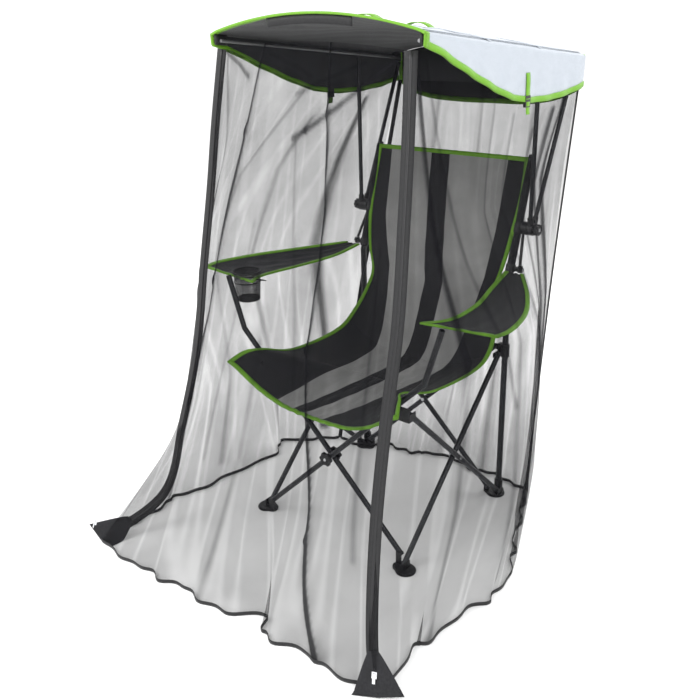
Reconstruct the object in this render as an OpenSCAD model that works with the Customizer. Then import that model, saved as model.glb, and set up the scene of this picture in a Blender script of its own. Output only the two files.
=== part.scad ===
// Folding camp chair with a tilting canopy and a floor-length insect net.
// The chair faces -Y, +X is its left-to-right as seen from the front, +Z is up.

/* [Frame] */
// Distance between the two foot pivots of one X, the same in width and in depth
pivot_span = 492; // [420:2:560]
// Height of a tube's top pivot over its foot pivot
pivot_rise = 478; // [420:2:520]
// Diameter of the X tubes
tube_d = 16; // [13:0.5:18]
// Diameter of the two rear uprights
upright_d = 19; // [16:0.5:20]
// Wall of every frame tube
tube_wall = 1.4; // [1:0.1:2.5]
// Diameter of the pivot rivets
pin_d = 6; // [4:0.5:7]
// Radial clearance of a rivet or an upright in its bore
run_gap = 0.06; // [0.02:0.01:0.1]
// Air between two tubes that cross
cross_gap = 2; // [1:0.5:4]
// Height of the side tubes' foot pivots
side_pivot_z = 18; // [17:1:22]
// How far the front and rear pivots stand above the side ones
pivot_step = 18; // [14:1:24]
// Straight length of an arm post past the seat corner pivot
post_reach = 124; // [100:1:140]
// Length of the leaning part of an arm post
post_rise = 165; // [140:1:185]
// Lean of the arm posts from upright
post_lean = 18; // [8:1:24]

/* [Back] */
// Height at which the uprights begin to lean back
back_bend_z = 740; // [735:1:760]
// Lean of the back
back_lean = 17; // [8:1:24]
// Height of the uprights' tops
back_top_z = 1078; // [1020:1:1100]
// Half of the width of the back cloth at its top
back_half_w = 290; // [280:1:300]
// Thickness of the seat, back and arm cloth
sling_t = 4; // [2:0.5:5]

/* [Canopy] */
// Height of the canopy's tilt axis
tilt_z = 879; // [860:1:900]
// Distance of a canopy arm outside its upright
arm_out = 38; // [36:1:44]
// Diameter of the canopy arms
arm_d = 13; // [11:0.5:14]
// Lean of the rear canopy arms
rear_arm_lean = 24; // [18:1:28]
// How far the roof's side edges stand outside the canopy arms
roof_over = 22; // [20:1:36]
// How far the roof reaches forward of the front pivots
roof_ahead = 20; // [0:2:40]
// How far the roof reaches behind the rear pivots
roof_behind = 316; // [300:2:350]
// Height of the roof's side edges at the front
roof_front_z = 1426; // [1400:2:1450]
// How far the roof drops from front to rear
roof_drop = 80; // [40:2:100]
// Rise of the roof's arch
roof_arch = 40; // [20:2:60]
// Thickness of the canopy cloth
canopy_t = 2; // [1:0.5:3]
// Depth of the valance at the rear
valance_h = 146; // [100:2:180]

/* [Net] */
// How far the net bulges outside the arm rests
net_out = 34; // [30:2:110]
// How far the front hem lies forward of the front pivots
net_ahead = 469; // [400:5:540]
// How far the rear hem lies behind the rear pivots
net_behind = 99; // [90:3:150]
// Thickness that stands for the net's mesh
net_t = 1; // [0.6:0.2:2]
// Width of the zip tapes at the corners
tape_w = 24; // [16:1:32]
// Thickness of a zip tape
tape_t = 2; // [1:0.5:3]
// Width of the hem on the ground
hem_w = 8; // [5:1:12]

/* [Cup holder] */
// Inner diameter of the cup holder's ring
cup_d = 76; // [60:1:84]
// Depth of the cup holder
cup_h = 94; // [70:1:110]

/* [Hidden] */
$fn = 48;

half = pivot_span / 2;
tube_r = tube_d / 2;
pin_r = pin_d / 2;
bore_r = pin_r + run_gap;
tube_angle = atan2(pivot_rise, pivot_span);
layer = (tube_d + cross_gap) / 2;
end_len = 6;
// the pads stand outside the pivots: sideways past the tube ends, and a little fore and aft
side_x = half + 30;
front_plane = half - 1;
cross_pivot_z = side_pivot_z + pivot_step;
seat_pivot_z = side_pivot_z + pivot_rise;
lug_t = 3;
lug_air = 0.8;
pad_t = 7;
socket_floor = 4;
// a bent tube is this much thicker at its corner
corner_swell = 0.4;
// uprights stand just behind the side tubes' ends
upright_r = upright_d / 2;
upright_y = half + 16.5 + upright_r;
ring_r = upright_r + 4;
arm_x = side_x + arm_out;
tilt_y = upright_y + (tilt_z - back_bend_z) * tan(back_lean) + 8;
back_len = (back_top_z - back_bend_z) / cos(back_lean);
// the arm cloth lies on the posts' ends
arm_cloth_z = cross_pivot_z + pivot_rise + post_reach * sin(tube_angle) + post_rise * cos(post_lean) + 3;
post_x = half + post_reach * cos(tube_angle) + post_rise * sin(post_lean);
arm_side = 136;
net_half_w = post_x + arm_side + net_out;
net_front_y = half + net_ahead;
net_rear_y = half + net_behind;
// everything is drawn around the middle of the frame, then moved so that the whole is centred
roof_half_w = arm_x + roof_over;
roof_front_y = half + roof_ahead;
roof_rear_y = half + roof_behind;
roof_len = roof_front_y + roof_rear_y;
roof_pitch = atan(roof_drop / roof_len);
roof_trim = 4;
rear_most = roof_rear_y - roof_trim * cos(roof_pitch) + roof_arch * sin(roof_pitch);
mid_y = (rear_most - net_front_y - tape_w / 4) / 2;
steel = "dimgray";
black = "#1c1c1e";
lime = "#79c522";

module place() translate([0, -mid_y, 0]) children();

module rod(p, q, d) {
  v = q - p;
  l = norm(v);
  translate(p) rotate([0, acos(v.z / l), atan2(v.y, v.x)]) cylinder(h = l, d = d);
}

module box(lo, hi) translate(lo) cube(hi - lo);

// straight piece of tube, open at both ends
module pipe(p, q, d) difference() {
  rod(p, q, d);
  rod(p - (q - p) / norm(q - p), q + (q - p) / norm(q - p), d - 2 * tube_wall);
}

// rod from the origin along +Z, l1 long, that turns towards +X and runs on for l2
module bent_rod(d, l1, l2, turn, past = 0) {
  corner = [0, 0, l1];
  rod([0, 0, -past], corner, d);
  translate(corner) sphere(d = d + corner_swell);
  rod(corner, corner + (l2 + past) * [sin(turn), 0, cos(turn)], d);
}

module bent_pipe(d, l1, l2, turn) difference() {
  bent_rod(d, l1, l2, turn);
  bent_rod(d - 2 * tube_wall, l1, l2, turn, 1);
}

// outline with n soft lobes, for hubs and knobs
module lobed(n, r, depth) polygon([for (i = [0:12 * n - 1]) let (t = 30 * i / n)
  (r + depth * cos(n * t)) * [cos(t), sin(t)]]);

// pin along X through the point p, from x = a to x = b
module pin_x(a, b, y, z, r = pin_r)
  translate([min(a, b), y, z]) rotate([0, 90, 0]) cylinder(h = abs(b - a), r = r);
module pin_y(a, b, x, z, r = pin_r)
  translate([x, min(a, b), z]) rotate([-90, 0, 0]) cylinder(h = abs(b - a), r = r);

// ---- X tubes -------------------------------------------------------------
// one tube in the XZ plane at depth y, rising towards +X when s = 1, with its rivet bores
module cross_tube(y, s, post) {
  u = [s * cos(tube_angle), 0, sin(tube_angle)];
  foot = [-s * half, y, cross_pivot_z];
  top = [s * half, y, cross_pivot_z + pivot_rise];
  difference() {
    if (post)
      translate(foot - end_len * u) rotate([0, s * (90 - tube_angle), 0]) rotate([0, 0, s > 0 ? 180 : 0])
        bent_pipe(tube_d, end_len + norm(top - foot) + post_reach, post_rise, 90 - tube_angle - post_lean);
    else
      pipe(foot - end_len * u, top + end_len * u, tube_d);
    for (p = [foot, (foot + top) / 2, top]) pin_y(y - tube_d, y + tube_d, p.x, p.z, bore_r);
  }
}

// one tube in the YZ plane at x, rising towards +Y when s = 1
module side_tube(x, s) {
  u = [0, s * cos(tube_angle), sin(tube_angle)];
  foot = [x, -s * half, side_pivot_z];
  top = [x, s * half, side_pivot_z + pivot_rise];
  difference() {
    pipe(foot - end_len * u, top + end_len * u, tube_d);
    for (p = [foot, (foot + top) / 2, top]) pin_x(x - tube_d, x + tube_d, p.y, p.z, bore_r);
  }
}

outer_front = -front_plane - layer;
inner_front = -front_plane + layer;
outer_rear = front_plane + layer;
inner_rear = front_plane - layer;
outer_side = side_x + layer;
inner_side = side_x - layer;

module front_left_leg_tube() color(steel) place() cross_tube(outer_front, 1, true);
module front_right_leg_tube() color(steel) place() cross_tube(inner_front, -1, true);
module rear_left_leg_tube() color(steel) place() cross_tube(outer_rear, 1, false);
module rear_right_leg_tube() color(steel) place() cross_tube(inner_rear, -1, false);
module left_side_tube_from_front() color(steel) place() side_tube(-inner_side, 1);
module left_side_tube_from_rear() color(steel) place() side_tube(-outer_side, -1);
module right_side_tube_from_front() color(steel) place() side_tube(inner_side, 1);
module right_side_tube_from_rear() color(steel) place() side_tube(outer_side, -1);

// ---- feet ----------------------------------------------------------------
// sx, sy: which corner; tx: where its side tube is; ty: where its front or rear tube is
module foot(sx, sy, tx, ty, socket) {
  pad_y = sy * (half + 8);
  plate_x = tx + sx * (tube_r + lug_air);
  plate_y = ty + sy * (tube_r + lug_air);
  difference() {
    union() {
      linear_extrude(pad_t) hull() {
        translate([sx * side_x, pad_y]) circle(r = 27);
        translate([sx * (half + 6), pad_y]) circle(r = 18);
        if (socket) translate([sx * side_x, upright_y]) circle(r = 18);
      }
      translate([sx * side_x, pad_y, 0]) cylinder(h = 3, r = 30);
      // lug beside the side tube
      box([min(plate_x, plate_x + sx * lug_t), min(sy * (half + 12), sy * (half - 10)), 0],
          [max(plate_x, plate_x + sx * lug_t), max(sy * (half + 12), sy * (half - 10)), side_pivot_z + 9]);
      // lug beside the front or rear tube
      box([min(sx * (half - 9), sx * (half + 9)), min(plate_y, plate_y + sy * lug_t), 0],
          [max(sx * (half - 9), sx * (half + 9)), max(plate_y, plate_y + sy * lug_t), cross_pivot_z + 9]);
      pin_x(plate_x + sx * 2, tx - sx * (tube_r + 1.5), sy * half, side_pivot_z);
      pin_y(plate_y + sy * 2, ty - sy * (tube_r + 1.5), sx * half, cross_pivot_z);
      if (socket) translate([sx * side_x, upright_y, 0]) cylinder(h = 44, r = ring_r);
    }
    if (socket) translate([sx * side_x, upright_y, socket_floor]) cylinder(h = 60, r = upright_r + 0.02);
  }
}
module front_left_foot() color(black) place() foot(-1, -1, -inner_side, outer_front, false);
module front_right_foot() color(black) place() foot(1, -1, inner_side, inner_front, false);
module rear_left_foot() color(black) place() foot(-1, 1, -outer_side, outer_rear, true);
module rear_right_foot() color(black) place() foot(1, 1, outer_side, inner_rear, true);

// ---- uprights ------------------------------------------------------------
module upright(sx) translate([sx * side_x, upright_y, socket_floor]) rotate([0, 0, 90])
  bent_pipe(upright_d, back_bend_z - socket_floor, back_len, back_lean);
module left_upright() color(steel) place() upright(-1);
module right_upright() color(steel) place() upright(1);

module upright_cap(sx) {
  c = [sx * side_x, upright_y, back_bend_z] + (back_len + 0.1) * [0, sin(back_lean), cos(back_lean)];
  translate(c) rotate([-back_lean, 0, 0]) {
    cylinder(h = 2, d = upright_d);
    translate([0, 0, 2]) cylinder(h = 2, d1 = upright_d, d2 = upright_d - 4);
  }
}
module left_upright_cap() color(black) place() upright_cap(-1);
module right_upright_cap() color(black) place() upright_cap(1);

// ---- crossing rivets and the front hub --------------------------------------
hub_z = cross_pivot_z + pivot_rise / 2;
module hub_disc(y, t)
  translate([0, y, hub_z]) rotate([90, 0, 0]) linear_extrude(t, center = true) lobed(6, 20, 2);
module front_hub() color(black) place() {
  hub_disc(outer_front - tube_r - 4.3, 8);
  hub_disc(inner_front + tube_r + 4.3, 8);
  pin_y(outer_front - tube_r - 10, inner_front + tube_r + 10, 0, hub_z);
}
module side_rivet(sx) {
  z = side_pivot_z + pivot_rise / 2;
  pin_x(sx * (inner_side - tube_r - 1), sx * (outer_side + tube_r + 1), 0, z);
  for (x = [sx * (inner_side - tube_r - 2), sx * (outer_side + tube_r + 2)])
    translate([x, 0, z]) rotate([0, 90, 0]) cylinder(h = 2, r = 6, center = true);
}
module left_cross_rivet() color("silver") place() side_rivet(-1);
module right_cross_rivet() color("silver") place() side_rivet(1);
module rear_cross_rivet() color("silver") place() {
  pin_y(inner_rear - tube_r - 1, outer_rear + tube_r + 1, 0, hub_z);
  for (y = [inner_rear - tube_r - 2, outer_rear + tube_r + 2])
    translate([0, y, hub_z]) rotate([90, 0, 0]) cylinder(h = 2, r = 6, center = true);
}

// ---- brackets --------------------------------------------------------------
// rides up the upright as the frame folds; ty is its rear tube's depth
module slide_bracket(sx, ty) {
  zs = seat_pivot_z;
  zc = cross_pivot_z + pivot_rise;
  plate_y = ty + tube_r + lug_air;
  out_x = inner_side - tube_r - 2;
  in_x = out_x - lug_t;
  difference() {
    union() {
      translate([sx * side_x, upright_y, zs - 12]) cylinder(h = 40, r = ring_r);
      box([min(sx * in_x, sx * out_x), half - 10, zs - 10],
          [max(sx * in_x, sx * out_x), upright_y, zs + 4]);
      box([min(sx * in_x, sx * (side_x - 4)), upright_y - 8, zs - 12],
          [max(sx * in_x, sx * (side_x - 4)), upright_y + 8, zs + 28]);
      box([min(sx * in_x, sx * out_x), plate_y, zs + 8], [max(sx * in_x, sx * out_x), upright_y, zs + 28]);
      box([min(sx * (half - 9), sx * out_x), plate_y, zc - 9],
          [max(sx * (half - 9), sx * out_x), plate_y + lug_t, zc + 9]);
      pin_x(sx * in_x, sx * (inner_side + tube_r + 1), half, zs);
      pin_y(plate_y + 2, ty - tube_r - 1.5, sx * half, zc);
    }
    translate([sx * side_x, upright_y, 0]) cylinder(h = 700, r = upright_r + run_gap);
  }
}
module left_slide_bracket() color(black) place() slide_bracket(-1, inner_rear);
module right_slide_bracket() color(black) place() slide_bracket(1, outer_rear);

// holds the front tube and the side tube at the seat's front corner; ty is the front tube's depth
module seat_corner(sx, ty) {
  zs = seat_pivot_z;
  zc = cross_pivot_z + pivot_rise;
  plate_y = outer_front - tube_r - lug_air;
  plate_x = outer_side + tube_r + lug_air;
  box([min(sx * (half - 10), sx * (plate_x + lug_t)), plate_y - lug_t, zs - 14],
      [max(sx * (half - 10), sx * (plate_x + lug_t)), plate_y, zc + 9]);
  box([min(sx * plate_x, sx * (plate_x + lug_t)), plate_y - lug_t, zs - 14],
      [max(sx * plate_x, sx * (plate_x + lug_t)), -half + 10, zs + 10]);
  pin_y(plate_y - 1, ty + tube_r + 1.5, sx * half, zc);
  pin_x(sx * (plate_x + 1), sx * (outer_side - tube_r - 1.5), -half, zs);
}
module left_seat_corner() color(black) place() seat_corner(-1, inner_front);
module right_seat_corner() color(black) place() seat_corner(1, outer_front);

// clamps the upright at arm height and carries the arm cloth and the canopy strut
arm_z = arm_cloth_z + 5.7;
strut_x = arm_x - 6;
module arm_bracket(sx) {
  y = upright_y + (arm_z - back_bend_z) * tan(back_lean);
  difference() {
    union() {
      translate([sx * side_x, y, arm_z]) rotate([-back_lean, 0, 0]) translate([0, 0, -11])
        cylinder(h = 22, r = ring_r + 1);
      box([min(sx * side_x, sx * (strut_x + 7)), y - 6, arm_z - 7],
          [max(sx * side_x, sx * (strut_x + 7)), y + 6, arm_z + 5]);
      translate([sx * strut_x, y, arm_z - 9]) cylinder(h = 18, r = 8);
      translate([sx * (strut_x + 6), y, arm_z - 1]) rotate([0, sx * 90, 0]) cylinder(h = 4, r = 4);
    }
    translate([sx * side_x, y, arm_z]) rotate([-back_lean, 0, 0])
      cylinder(h = 90, r = upright_r + 0.02, center = true);
  }
}
module left_arm_bracket() color(black) place() arm_bracket(-1);
module right_arm_bracket() color(black) place() arm_bracket(1);

// fixed half of the tilt joint: a clamp on the upright, the strut down to the arm bracket, the axle
mount_x0 = side_x + upright_r + 1.5;
mount_x1 = mount_x0 + 9;
socket_x0 = mount_x1 + 0.6;
socket_x1 = arm_x + arm_d / 2 + 4;
knob_x0 = socket_x1 + 0.8;
axle_r = 4;
module tilt_mount(sx) {
  y = upright_y + (tilt_z - back_bend_z) * tan(back_lean);
  yb = upright_y + (arm_z - back_bend_z) * tan(back_lean);
  difference() {
    union() {
      translate([sx * side_x, y, tilt_z]) rotate([-back_lean, 0, 0]) translate([0, 0, -14])
        cylinder(h = 28, r = ring_r);
      translate([sx * mount_x0, tilt_y, tilt_z]) rotate([0, sx * 90, 0])
        cylinder(h = mount_x1 - mount_x0, r = 19);
      box([min(sx * side_x, sx * mount_x1), y - 5, tilt_z - 13],
          [max(sx * side_x, sx * mount_x1), y + 12, tilt_z + 13]);
      pin_x(sx * mount_x0, sx * (knob_x0 + 10), tilt_y, tilt_z, axle_r);
      rod([sx * (mount_x0 + 3.5), tilt_y - 2, tilt_z - 14], [sx * (strut_x - 2), yb + 1, arm_z + 10.9], 9);
    }
    translate([sx * side_x, y, tilt_z]) rotate([-back_lean, 0, 0])
      cylinder(h = 90, r = upright_r + 0.02, center = true);
  }
}
module left_tilt_mount() color(black) place() tilt_mount(-1);
module right_tilt_mount() color(black) place() tilt_mount(1);

// moving half: a drum with two sleeves for the canopy arms
sleeve_in = 16;
sleeve_out = 34;
module tilt_socket(sx) {
  difference() {
    union() {
      translate([sx * socket_x0, tilt_y, tilt_z]) rotate([0, sx * 90, 0])
        cylinder(h = socket_x1 - socket_x0, r = 19);
      for (a = [0, rear_arm_lean]) arm_axis(sx, a) cylinder(h = sleeve_out, d = arm_d + 5);
    }
    for (a = [0, rear_arm_lean])
      arm_axis(sx, a) translate([0, 0, sleeve_in]) cylinder(h = 60, d = arm_d + 0.04);
    pin_x(sx * (socket_x0 - 1), sx * (socket_x1 + 1), tilt_y, tilt_z, axle_r + run_gap);
  }
}
// local frame of a canopy arm; the two arms leave the drum 11 mm apart so that they never touch
module arm_axis(sx, lean)
  translate([sx * arm_x, tilt_y + (lean > 0 ? 11 : -8), tilt_z]) rotate([-lean, 0, 0]) children();
module left_tilt_socket() color(black) place() tilt_socket(-1);
module right_tilt_socket() color(black) place() tilt_socket(1);

module tilt_knob(sx) translate([sx * knob_x0, tilt_y, tilt_z]) rotate([0, sx * 90, 0]) difference() {
  union() {
    cylinder(h = 4, r = 12);
    translate([0, 0, 4]) linear_extrude(12) lobed(8, 15.5, 1.5);
  }
  translate([0, 0, -1]) cylinder(h = 11.5, r = axle_r + run_gap);
}
module left_tilt_knob() color(black) place() tilt_knob(-1);
module right_tilt_knob() color(black) place() tilt_knob(1);

// ---- canopy ------------------------------------------------------------------
function roof_z(y) = roof_front_z - (y + roof_front_y) * tan(roof_pitch);
rail_d = 8;
rail_y0 = -roof_front_y + 12;
rail_y1 = roof_rear_y - 30;
function rail_z(y) = roof_z(y) - 16;

module canopy_arm(sx, lean) {
  top = rail_z(tilt_y + (lean > 0 ? 11 : -8) + (roof_front_z - tilt_z) * tan(lean)) - rail_d / 2 - 1;
  arm_axis(sx, lean) translate([0, 0, sleeve_in])
    cylinder(h = (top - tilt_z) / cos(lean) - sleeve_in - (lean > 0 ? 5 : 1), d = arm_d);
}
module left_front_canopy_arm() color(steel) place() canopy_arm(-1, 0);
module left_rear_canopy_arm() color(steel) place() canopy_arm(-1, rear_arm_lean);
module right_front_canopy_arm() color(steel) place() canopy_arm(1, 0);
module right_rear_canopy_arm() color(steel) place() canopy_arm(1, rear_arm_lean);

module roof_rail(sx)
  rod([sx * arm_x, rail_y0, rail_z(rail_y0)], [sx * arm_x, rail_y1, rail_z(rail_y1)], rail_d);
module left_roof_rail() color("gray") place() roof_rail(-1);
module right_roof_rail() color("gray") place() roof_rail(1);

// roof cloth: a shallow arch across, pitched down to the rear
arch_r = (pow(roof_half_w, 2) + pow(roof_arch, 2)) / (2 * roof_arch);
module arch(t) intersection() {
  difference() {
    translate([0, roof_arch - arch_r]) circle(r = arch_r, $fn = 240);
    translate([0, roof_arch - arch_r]) circle(r = arch_r - t, $fn = 240);
  }
  translate([-roof_half_w, -t]) square([2 * roof_half_w, roof_arch + 2 * t]);
}
module canopy_roof() color("white") place()
  translate([0, -roof_front_y, roof_front_z]) rotate([-90 - roof_pitch, 0, 0]) mirror([0, 1, 0])
    linear_extrude(roof_len / cos(roof_pitch) - roof_trim) arch(canopy_t);

// a side flap's lower edge: how far along the flap, and how far under the roof's front edge
flap_shape = [[0, 28], [0.076, 48], [0.198, 89], [0.357, 138], [0.479, 169], [0.601, 183], [0.736, 185],
  [0.87, 179], [1, 164]];
flap_y0 = -roof_front_y + 4;
flap_y1 = roof_rear_y - 6;
flap_edge = [for (p = flap_shape) [flap_y0 + p.x * (flap_y1 - flap_y0), roof_front_z - p.y]];
module flap(sx) {
  outline = concat(flap_edge, [[flap_y1, roof_z(flap_y1) - 6], [flap_y0, roof_z(flap_y0) - 6]]);
  translate([sx > 0 ? roof_half_w - canopy_t - 1 : -roof_half_w + 1, 0, 0])
    rotate([90, 0, 90]) linear_extrude(canopy_t) polygon(outline);
}
module canopy_left_flap() color("white") place() flap(-1);
module canopy_right_flap() color("white") place() flap(1);
module canopy_rear_valance() color("white") place()
  box([-roof_half_w + 4, roof_rear_y - 5, roof_z(roof_rear_y) - valance_h],
      [roof_half_w - 4, roof_rear_y - 5 + canopy_t, roof_z(roof_rear_y) - 8]);

// two webbing loops on the roof's long axis, like the handles of a bag
module handle(y) {
  z = roof_z(y) + roof_arch - canopy_t;
  translate([0, y, z]) rotate([90 - roof_pitch, 0, 0]) linear_extrude(26, center = true) difference() {
    intersection() {
      translate([0, -58]) circle(r = 76);
      translate([-50, 2.5]) square([100, 40]);
    }
    translate([0, -58]) circle(r = 73);
  }
}
module carry_handles() color(lime) place() for (y = [-40, 190]) handle(y);

strap_y = 205;
buckle_z = roof_front_z - 179;
module canopy_straps() color(lime) place() for (sx = [-1, 1])
  box([min(sx * (roof_half_w + 0.5), sx * (roof_half_w + 2.5)), strap_y - 10, buckle_z + 16],
      [max(sx * (roof_half_w + 0.5), sx * (roof_half_w + 2.5)), strap_y + 10, buckle_z + 71]);
module strap_buckles() color(black) place() for (sx = [-1, 1])
  translate([sx * (roof_half_w + 3), strap_y, buckle_z]) rotate([0, 90, 0]) linear_extrude(7, center = true)
    offset(3) square([24, 20], center = true);

// ---- cloth -------------------------------------------------------------------
back_off = upright_r + 1;
// local frame of the leaning back: z runs up the upright from the bend, y = 0 on the upright's axis
module back_frame() translate([0, upright_y, back_bend_z]) rotate([-back_lean, 0, 0]) children();
module back_cloth() color(black) place() back_frame() {
  w = side_x - ring_r - 4;
  box([-w, -back_off - sling_t, -30], [w, -back_off, back_len - 180]);
  box([-back_half_w, -back_off - sling_t, back_len - 180], [back_half_w, -back_off, back_len - 2]);
}

// seat sling across the frame, low in the middle, above the front X
seat_low = seat_pivot_z - 71;
seat_edge = [[0, seat_low], [half - 146, seat_low + 8], [half - 74, seat_low + 46],
  [half - 8, seat_low + 109], [half + 16, seat_low + 124]];
seat_front_y = half + 66;
seat_split_y = 10;
seat_rear_y = half - 76;
seam = 1;
module seat_section() {
  up = [for (p = seat_edge) [p.x, p.y + sling_t]];
  n = len(seat_edge);
  polygon(concat(seat_edge, [for (i = [n - 1:-1:0]) up[i]], [for (i = [1:n - 1]) [-up[i].x, up[i].y]],
    [for (i = [n - 1:-1:1]) [-seat_edge[i].x, seat_edge[i].y]]));
}
module seat_length(y0, y1) translate([0, y1, 0]) rotate([90, 0, 0]) linear_extrude(y1 - y0) seat_section();
module seat_front_cloth() color(black) place() seat_length(-seat_front_y, seat_split_y - seam);
module seat_rear_cloth() color(black) place() seat_length(seat_split_y, seat_rear_y);

// lower back, from the seat's rear edge up to the leaning back cloth
low_back_w = half - 46;
low_back_z0 = seat_low + 24;
low_back_y0 = seat_rear_y + seam + sling_t;
low_back_z1 = back_bend_z - 36;
low_back_y1 = upright_y - back_off - sling_t - 15;
low_back_run = [low_back_y1 - low_back_y0, low_back_z1 - low_back_z0];
module low_back_cloth() color(black) place()
  translate([0, low_back_y0, low_back_z0]) rotate([-atan(low_back_run.x / low_back_run.y), 0, 0])
    box([-low_back_w, -sling_t, 0], [low_back_w, 0, norm(low_back_run)]);

// arm cloth: wide at the front over the post, narrow at the bracket
arm_front = half + 16;
arm_rear = half + 4;
arm_outline = [[-128, -arm_front], [122, -arm_front], [arm_side, 40 - arm_front], [110, -60], [44, 60],
  [-44, arm_rear], [-124, arm_rear], [-156, 60], [-156, -120]];
cup_at = [-24, 62 - half];
module arm_cloth(sx, cup) translate([sx * post_x, 0, arm_cloth_z]) difference() {
  linear_extrude(sling_t) polygon([for (p = arm_outline) [sx * p.x, p.y]]);
  if (cup) translate([sx * cup_at.x, cup_at.y, -1]) cylinder(h = sling_t + 2, d = cup_d + 9);
}
module left_armrest() color(black) place() arm_cloth(-1, true);
module right_armrest() color(black) place() arm_cloth(1, false);
module cup_holder() color(black) place()
  translate([-(post_x + cup_at.x), cup_at.y, arm_cloth_z + sling_t + 1]) rotate([180, 0, 0]) difference() {
    union() {
      cylinder(h = cup_h, d1 = cup_d + 8, d2 = cup_d - 6);
      cylinder(h = 5, d = cup_d + 8.4);
    }
    translate([0, 0, -1]) cylinder(h = cup_h - 2, d1 = cup_d, d2 = cup_d - 14);
  }

// ---- net -----------------------------------------------------------------------
// corner points at the canopy and on the ground: front left, front right, rear right, rear left
net_in = roof_half_w - 16;
net_front_z = roof_front_z - 22;
net_rear_z = roof_front_z - roof_drop - 46;
net_top = [[-net_in, -roof_front_y + 2, net_front_z], [net_in, -roof_front_y + 2, net_front_z],
  [net_in, roof_rear_y - 16, net_rear_z], [-net_in, roof_rear_y - 16, net_rear_z]];
net_foot = [[-net_half_w, -net_front_y, 0], [net_half_w - 56, -net_front_y + 24, 0],
  [side_x + 64, net_rear_y + 20, 0], [-side_x - 96, net_rear_y - 30, 0]];
// the arms push the side walls out here
bulge_y = 41 - half;
bulge_z = arm_cloth_z + 10;
edge_off = tape_w / 2 + 2;
function off(p, q, d) = p + (q - p) / norm(q - p) * d;
function net_low(i) = off(net_foot[i], net_top[i], hem_w + 3);
// thin closed sheet: a fan from the middle to a ring that runs clockwise seen from outside, t thick
module fan_sheet(ring, middle, t) {
  n = len(ring);
  outer = concat(ring, [middle]);
  polyhedron(concat(outer, [for (p = outer) p + t]), concat(
    [for (i = [0:n - 1]) [i, (i + 1) % n, n]],
    [for (i = [0:n - 1]) [n + 1 + (i + 1) % n, n + 1 + i, 2 * n + 1]],
    [for (i = [0:n - 1]) [(i + 1) % n, i, n + 1 + i, n + 1 + (i + 1) % n]]));
}

// a wall with a little belly, all its corners clear of the tapes
module net_wall(i, j, belly) {
  a = off(net_top[i], net_top[j], edge_off);
  b = off(net_top[j], net_top[i], edge_off);
  c = off(net_low(j), net_low(i), edge_off);
  d = off(net_low(i), net_low(j), edge_off);
  ring = [a, (a + b) / 2, b, (b + c) / 2, c, (c + d) / 2, d, (d + a) / 2];
  fan_sheet(ring, (a + b + c + d) / 4 + [0, belly, 0], [0, -sign(belly) * net_t, 0]);
}
// a side wall hangs from just under the flap's edge; f is its front corner and r its rear one
module net_side_wall(f, r, x) {
  hang_x = sign(x) * (roof_half_w - canopy_t - 7);
  edge = [for (i = [1:len(flap_edge) - 2]) [hang_x, flap_edge[i].x, flap_edge[i].y - 6]];
  ring = concat([off(net_top[f], net_foot[f], 30) + [0, edge_off, 0]], edge,
    [off(net_top[r], net_foot[r], 50) - [0, edge_off, 0], off(net_low(r), net_low(f), edge_off),
    off(net_low(f), net_low(r), edge_off)]);
  fan_sheet(ring, [x, bulge_y, bulge_z], [-net_t, 0, 0]);
}
module net_front_panel() color("#3a3a3e", 0.4) place() net_wall(0, 1, -12);
module net_rear_panel() color("#3a3a3e", 0.4) place() net_wall(2, 3, 12);
module net_left_panel() color("#3a3a3e", 0.4) place() net_side_wall(0, 3, -net_half_w);
module net_right_panel() color("#3a3a3e", 0.4) place() net_side_wall(1, 2, net_half_w + tape_w / 4);

module net_hem() color(black) place() for (i = [0:3]) {
  p = off(net_foot[i], net_foot[(i + 1) % 4], edge_off);
  q = off(net_foot[(i + 1) % 4], net_foot[i], edge_off);
  translate(p) rotate([0, 0, atan2(q.y - p.y, q.x - p.x)])
    box([0, -hem_w / 2, 0], [norm(q - p), hem_w / 2, hem_w]);
}

module net_zip_tapes() color(black) place() for (i = [0:3]) hull() {
  translate(net_top[i]) cube([tape_w / 2, tape_w / 2, tape_t], center = true);
  translate(net_foot[i] + [0, 0, tape_t / 2]) cube([tape_w / 2, tape_w / 2, tape_t], center = true);
}

// a zip slider rests at the foot of its tape and runs up it
slider_z = 75;
module zip_slider(i) {
  p = off(net_foot[i], net_top[i], slider_z);
  lean = net_top[i] - net_foot[i];
  translate(p) rotate([0, acos(lean.z / norm(lean)), atan2(lean.y, lean.x)]) rotate([0, 0, 180])
    translate([tape_w / 4 + 3, 0, 0]) {
      translate([0, -6, -8]) cube([5, 12, 16]);
      translate([5.2, -3.5, -20]) cube([1.6, 7, 24]);
    }
}
module front_left_zip_slider() color("silver") place() zip_slider(0);
module front_right_zip_slider() color("silver") place() zip_slider(1);

front_left_foot();
front_right_foot();
rear_left_foot();
rear_right_foot();
front_left_leg_tube();
front_right_leg_tube();
left_side_tube_from_front();
left_side_tube_from_rear();
right_side_tube_from_front();
right_side_tube_from_rear();
rear_left_leg_tube();
rear_right_leg_tube();
left_upright();
right_upright();
left_upright_cap();
right_upright_cap();
front_hub();
left_cross_rivet();
right_cross_rivet();
rear_cross_rivet();
left_slide_bracket();
right_slide_bracket();
left_seat_corner();
right_seat_corner();
left_arm_bracket();
right_arm_bracket();
left_tilt_mount();
right_tilt_mount();
left_tilt_socket();
right_tilt_socket();
left_tilt_knob();
right_tilt_knob();
left_front_canopy_arm();
left_rear_canopy_arm();
right_front_canopy_arm();
right_rear_canopy_arm();
left_roof_rail();
right_roof_rail();
canopy_roof();
canopy_left_flap();
canopy_right_flap();
canopy_rear_valance();
carry_handles();
canopy_straps();
strap_buckles();
back_cloth();
low_back_cloth();
seat_rear_cloth();
seat_front_cloth();
left_armrest();
right_armrest();
cup_holder();
net_front_panel();
net_left_panel();
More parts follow.
